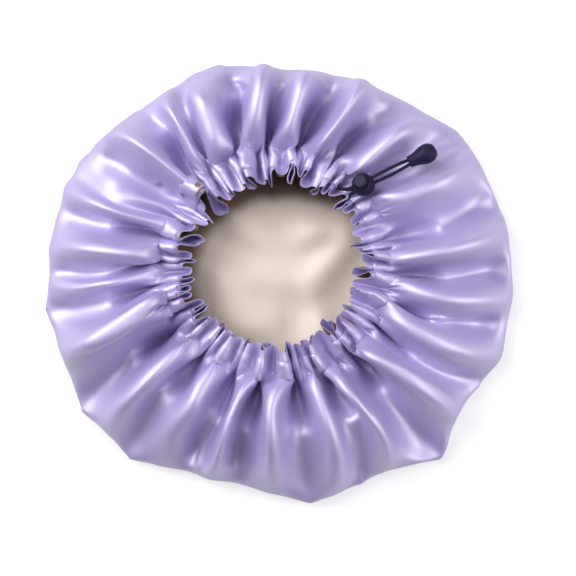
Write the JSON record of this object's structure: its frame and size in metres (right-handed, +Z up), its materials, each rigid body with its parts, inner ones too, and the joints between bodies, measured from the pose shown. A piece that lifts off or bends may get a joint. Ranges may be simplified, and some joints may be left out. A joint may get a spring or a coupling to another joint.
{
  "type": "satin shower cap",
  "caption": "Soft double-layer satin shower cap, gathered round its opening by an elastic drawcord with a spring cord lock and a bell cord end.",
  "frame": {"origin": "on the resting plane, at the crown of the cap under the centre of its opening", "axes": "+Z up out of the opening; +X along the cap's longest width; +Y away from the reader in the view from above, so the cord lock points towards +X+Y"},
  "size_m": [0.3564, 0.3348, 0.0609],
  "materials": {
    "lavender_satin": "glossy satin weave",
    "champagne_satin": "glossy satin weave",
    "thread": "twisted sewing thread",
    "elastic_cord": "braided cover over a rubber core",
    "moulded_plastic": "fine moulded texture",
    "spring_steel": "drawn wire"
  },
  "bodies": {
    "cap": {"outer_shell": "lavender_satin", "lining": "champagne_satin", "casing_stitching": "thread", "rim_seam_thread": "thread", "buttonhole_stitching": "thread", "drawcord_casing": "elastic_cord", "drawcord_tail_left": "elastic_cord", "drawcord_tail_right": "elastic_cord", "cord_knot": "elastic_cord", "cord_end_bell": "moulded_plastic", "cord_end_lid": "moulded_plastic"},
    "cord_lock": {"lock_barrel": "moulded_plastic", "lock_spring": "spring_steel"},
    "lock_button": {"lock_plunger": "moulded_plastic"}
  },
  "joints": [
    {"name": "lock_slide", "type": "slide", "parent": "cap", "child": "cord_lock", "axis": [0.8885, 0.4314, 0.1564], "range_m": [0, 0.024]},
    {"name": "button_press", "type": "slide", "parent": "cord_lock", "child": "lock_button", "axis": [0.2752, -0.2282, -0.9339], "range_m": [0, 0.0033], "stiffness_N_per_m": 900, "springref_m": -0.0015, "deforming": ["lock_spring"]}
  ]
}
